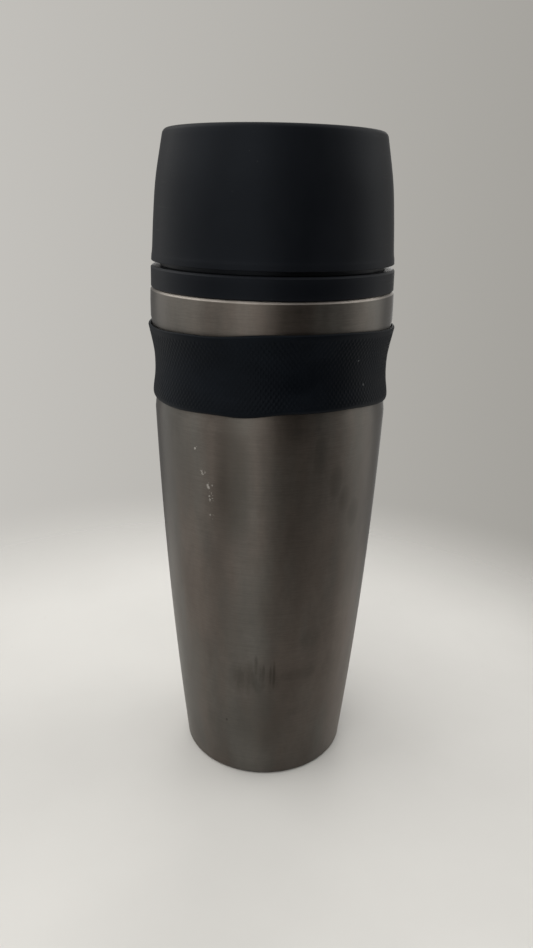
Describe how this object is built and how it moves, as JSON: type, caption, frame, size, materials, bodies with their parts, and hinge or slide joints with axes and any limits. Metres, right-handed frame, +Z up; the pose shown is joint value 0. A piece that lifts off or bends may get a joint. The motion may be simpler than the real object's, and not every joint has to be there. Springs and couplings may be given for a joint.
{
  "type": "insulated travel mug",
  "caption": "Tall tapered steel vacuum mug with a black silicone grip band and a screw lid whose centre button opens a drinking slot all round the rim.",
  "frame": {"origin": "centre of the base, on the surface the mug stands on", "axes": "+Z up along the mug's axis, -Y is the front, +X to the right seen from the front"},
  "size_m": [0.0852, 0.0852, 0.2293],
  "materials": {
    "shell_steel": "brushed round the body, smoky gunmetal tint",
    "liner_steel": "bright satin",
    "base_steel": "spun satin",
    "seal_metal": "dull",
    "spring_steel": "bright",
    "sleeve_silicone": "matt, finely ribbed",
    "seal_silicone": "matt",
    "neck_plastic": "satin",
    "cap_plastic": "satin, fine moulded texture",
    "button_plastic": "satin",
    "plug_plastic": "satin",
    "cam_plastic": "self-lubricating natural white"
  },
  "bodies": {
    "vessel": {"outer_shell": "shell_steel", "base_disc": "base_steel", "vacuum_seal": "seal_metal", "inner_liner": "liner_steel", "getter": "seal_metal", "grip_sleeve": "sleeve_silicone", "neck_ring": "neck_plastic"},
    "gasket": {"lid_gasket": "seal_silicone"},
    "lid": {"lid_plug": "plug_plastic", "cap_shell": "cap_plastic", "cap_seal": "seal_silicone", "guide_frame": "plug_plastic", "barrel_plug": "plug_plastic", "stem_seal": "seal_silicone", "guide_sleeve": "cam_plastic", "return_spring": "spring_steel"},
    "button": {"button_cap": "button_plastic", "button_plunger": "plug_plastic", "stem": "plug_plastic", "rotor_clip": "spring_steel", "valve_disc": "plug_plastic", "valve_seal": "seal_silicone", "valve_screw": "spring_steel"},
    "rotor": {"index_rotor": "cam_plastic"}
  },
  "joints": [
    {"name": "lid_rise", "type": "slide", "parent": "vessel", "child": "gasket", "axis": [0, 0, 1], "range_m": [0, 0.036]},
    {"name": "lid_turn", "type": "hinge", "parent": "gasket", "child": "lid", "pos_m": [0, 0, 0.166], "axis": [0, 0, 1], "range_deg": [0, 1080]},
    {"name": "button_press", "type": "slide", "parent": "lid", "child": "button", "axis": [0, 0, -1], "range_m": [0, 0.005], "stiffness_N_per_m": 800, "springref_m": -0.004, "deforming": ["return_spring"]},
    {"name": "rotor_index", "type": "hinge", "parent": "button", "child": "rotor", "pos_m": [0, 0, 0.181], "axis": [0, 0, 1], "range_deg": [0, 45]}
  ],
  "couplings": [
    {"joint": "lid_rise", "follows": "lid_turn", "m_per_rad": 0.0019099},
    {"joint": "rotor_index", "follows": "button_press", "rad_per_m": 157.08}
  ]
}
